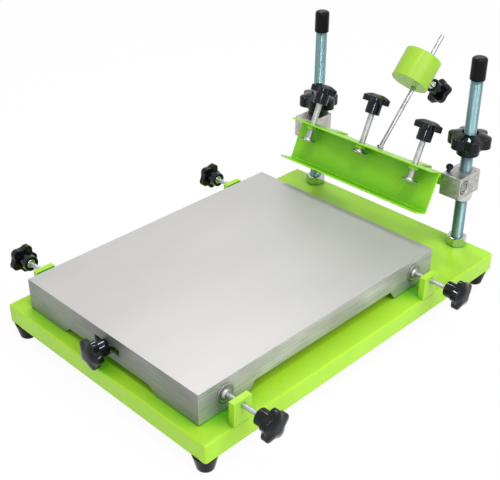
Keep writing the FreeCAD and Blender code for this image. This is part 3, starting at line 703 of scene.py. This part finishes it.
camera_data = bpy.data.cameras.new("camera")
camera_data.sensor_width = 36.0
camera_data.lens = 36.0 * 953.882 / 500.0
camera_data.clip_start = 0.01
camera_data.clip_end = 50.0
camera = bpy.data.objects.new("camera", camera_data)
bpy.context.scene.collection.objects.link(camera)
azimuth, elevation, roll = (math.radians(v) for v in (44.742, 31.024, 0.199))
back = Vector((math.sin(azimuth) * math.cos(elevation), -math.cos(azimuth) * math.cos(elevation),
               math.sin(elevation)))
right = Vector((0, 0, 1)).cross(back).normalized()
up = back.cross(right)
turned_right = math.cos(roll) * right + math.sin(roll) * up
turned_up = math.cos(roll) * up - math.sin(roll) * right
camera.matrix_world = upright(707.5, TRAY_FRONT - 472.85, 714.8) @ Matrix(
    (turned_right, turned_up, back)).transposed().to_4x4()
bpy.context.scene.camera = camera


# Light, floor and background.

def lamp(name, place, aim, size, watts):
    data = bpy.data.lights.new(name, "AREA")
    data.shape = "RECTANGLE"
    data.size, data.size_y = size
    data.energy = watts
    made = bpy.data.objects.new(name, data)
    bpy.context.scene.collection.objects.link(made)
    made.location = place
    made.rotation_euler = (Vector(aim) - Vector(place)).to_track_quat("-Z", "Y").to_euler()
    return made


lamp("key", (0.5, -0.4, 2.0), (0.0, 0.0, 0.05), (0.4, 0.4), 10.0)
lamp("right", (1.5, -0.1, 1.2), (0.0, 0.0, 0.05), (1.2, 1.2), 14.0)
lamp("back", (-0.72, 0.60, 1.6), (0.0, 0.0, 0.10), (0.24, 0.24), 6.6)
lamp("rear_right", (0.80, 0.42, 1.22), (0.0, -0.1, 0.10), (0.10, 0.10), 1.8)
lamp("low", (1.1, -1.5, 0.87), (0.0, 0.0, 0.15), (0.16, 0.16), 4.5)


def seen_directly(tree):
    """1 for rays from the camera, off metal or through glass, which see plain white, and 0 for the rest."""
    path = tree.nodes.new("ShaderNodeLightPath")
    share = path.outputs["Is Camera Ray"]
    for ray in ("Is Glossy Ray", "Is Transmission Ray"):
        larger = tree.nodes.new("ShaderNodeMath")
        larger.operation = "MAXIMUM"
        tree.links.new(share, larger.inputs[0])
        tree.links.new(path.outputs[ray], larger.inputs[1])
        share = larger.outputs[0]
    return share


world = bpy.data.worlds.new("studio")
bpy.context.scene.world = world
world.use_nodes = True
tree = world.node_tree
tree.nodes.clear()
output = tree.nodes.new("ShaderNodeOutputWorld")
mix = tree.nodes.new("ShaderNodeMixShader")
ambient = tree.nodes.new("ShaderNodeBackground")
ambient.inputs["Color"].default_value = (1.0, 1.0, 1.0, 1.0)
ambient.inputs["Strength"].default_value = 0.55
white = tree.nodes.new("ShaderNodeBackground")
white.inputs["Color"].default_value = (1.0, 1.0, 1.0, 1.0)
white.inputs["Strength"].default_value = 1.0
tree.links.new(seen_directly(tree), mix.inputs[0])
tree.links.new(ambient.outputs[0], mix.inputs[1])
tree.links.new(white.outputs[0], mix.inputs[2])
tree.links.new(mix.outputs[0], output.inputs["Surface"])

floor_mesh = bpy.data.meshes.new("floor")
floor_mesh.from_pydata([(-6, -6, 0), (6, -6, 0), (6, 6, 0), (-6, 6, 0)], [], [(0, 1, 2, 3)])
floor = bpy.data.objects.new("floor", floor_mesh)
bpy.context.scene.collection.objects.link(floor)
pale = bpy.data.materials.new("pale_floor")
pale.use_nodes = True
tree = pale.node_tree
tree.nodes.clear()
output = tree.nodes.new("ShaderNodeOutputMaterial")
mix = tree.nodes.new("ShaderNodeMixShader")
matt = tree.nodes.new("ShaderNodeBsdfDiffuse")
matt.inputs["Color"].default_value = (0.9, 0.9, 0.9, 1.0)
glow = tree.nodes.new("ShaderNodeEmission")
glow.inputs["Strength"].default_value = 1.0
seen = tree.nodes.new("ShaderNodeMath")
seen.operation = "MULTIPLY"
seen.inputs[1].default_value = 0.95
tree.links.new(seen_directly(tree), seen.inputs[0])
tree.links.new(seen.outputs[0], mix.inputs[0])
tree.links.new(matt.outputs[0], mix.inputs[1])
tree.links.new(glow.outputs[0], mix.inputs[2])
tree.links.new(mix.outputs[0], output.inputs["Surface"])
floor_mesh.materials.append(pale)

bpy.context.scene.view_settings.view_transform = "Standard"
